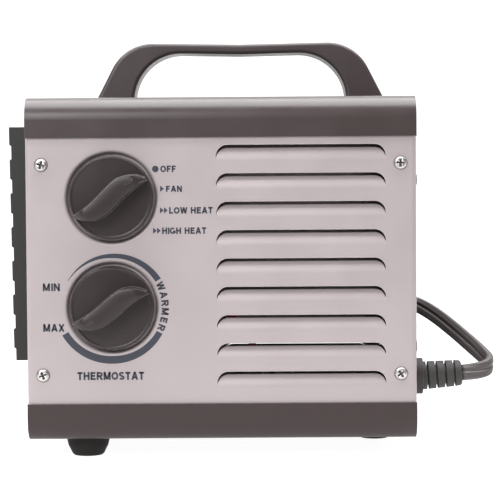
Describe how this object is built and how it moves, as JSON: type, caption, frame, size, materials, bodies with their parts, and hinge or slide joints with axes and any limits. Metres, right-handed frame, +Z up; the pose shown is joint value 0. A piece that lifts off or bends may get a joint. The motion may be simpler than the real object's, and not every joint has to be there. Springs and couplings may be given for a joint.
{
  "type": "ceramic space heater",
  "caption": "Portable ceramic fan heater in a louvred steel box with a strap handle, a mode selector, a thermostat knob and a mains cord.",
  "frame": {"origin": "on the floor under the middle of the heater, knobs and grille included", "axes": "+Z up, -X towards the outlet grille, +X towards the mains cord, -Y towards the control side"},
  "size_m": [0.2676, 0.3055, 0.2298],
  "materials": {
    "dark_paint": "satin powder coat, warm charcoal",
    "silver_paint": "satin metallic silver paint",
    "dark_plastic": "fine textured charcoal plastic",
    "handle_plastic": "satin charcoal plastic",
    "knob_plastic": "satin charcoal plastic",
    "rubber": "black rubber",
    "screw_steel": "bright zinc plate",
    "steel": "bare steel",
    "zinc_sheet": "galvanised sheet",
    "brass": "plain",
    "black_plastic": "moulded black",
    "cream_plastic": "moulded cream",
    "ceramic": "grey sintered ceramic",
    "fin_aluminium": "thin bright fins",
    "lamination": "stacked laminations",
    "winding": "enamelled winding under tape",
    "fan_plastic": "moulded black",
    "wire": "insulated wire",
    "cord_jacket": "dark grey flexible jacket",
    "relief_rubber": "moulded strain relief"
  },
  "bodies": {
    "casing": {"top_cover": "dark_paint", "bottom_tray": "dark_paint", "control_side_panel": "silver_paint", "far_side_panel": "silver_paint", "front_panel": "silver_paint", "rear_panel": "dark_plastic", "panel_screws": "screw_steel", "rear_panel_screws": "screw_steel", "front_grille": "dark_plastic", "grille_screws": "steel", "handle": "handle_plastic", "handle_screws": "steel", "front_foot_near": "rubber", "front_foot_far": "rubber", "rear_foot": "rubber", "foot_screws": "steel", "selector_switch": "black_plastic", "selector_nut": "steel", "thermostat_base": "cream_plastic", "thermostat_nut": "steel", "selector_tabs": "brass", "thermostat_blade": "brass", "tilt_switch_bracket": "zinc_sheet", "tilt_switch_pin": "steel", "tilt_switch_contacts": "black_plastic", "element_frame": "cream_plastic", "air_duct": "zinc_sheet", "fan_shroud": "black_plastic", "ceramic_stones": "ceramic", "element_fins": "fin_aluminium", "element_tabs": "brass", "thermal_cutoff": "black_plastic", "motor_stator": "lamination", "motor_coil": "winding", "motor_bracket": "zinc_sheet", "motor_end_plate": "zinc_sheet", "motor_bearings": "brass", "motor_spacers": "steel", "motor_screws": "steel", "strain_relief": "relief_rubber", "terminal_block": "cream_plastic", "terminal_screws": "brass", "internal_leads": "wire", "cord": "cord_jacket", "cord_tail": "cord_jacket", "cord_coil": "cord_jacket", "plug_body": "relief_rubber", "plug_blades": "brass"},
    "selector": {"selector_knob": "knob_plastic", "selector_shaft": "steel"},
    "thermostat": {"thermostat_knob": "knob_plastic", "thermostat_shaft": "steel"},
    "fan": {"fan_blades": "fan_plastic", "motor_shaft": "steel", "motor_rotor": "lamination"},
    "tilt_weight": {"tilt_switch_pendulum": "steel"}
  },
  "joints": [
    {"name": "selector_turn", "type": "hinge", "parent": "casing", "child": "selector", "pos_m": [-0.0551, -0.0756, 0.142], "axis": [0, 1, 0], "range_deg": [0, 70.5]},
    {"name": "thermostat_turn", "type": "hinge", "parent": "casing", "child": "thermostat", "pos_m": [-0.0551, -0.0756, 0.0829], "axis": [0, 1, 0], "range_deg": [-300, 0]},
    {"name": "fan_spin", "type": "hinge", "parent": "casing", "child": "fan", "pos_m": [-0.0498, 0.0072, 0.1171], "axis": [1, 0, 0], "continuous": true},
    {"name": "tilt_swing", "type": "hinge", "parent": "casing", "child": "tilt_weight", "pos_m": [0.0337, -0.0548, 0.0518], "axis": [1, 0, 0], "range_deg": [-20, 20]}
  ]
}
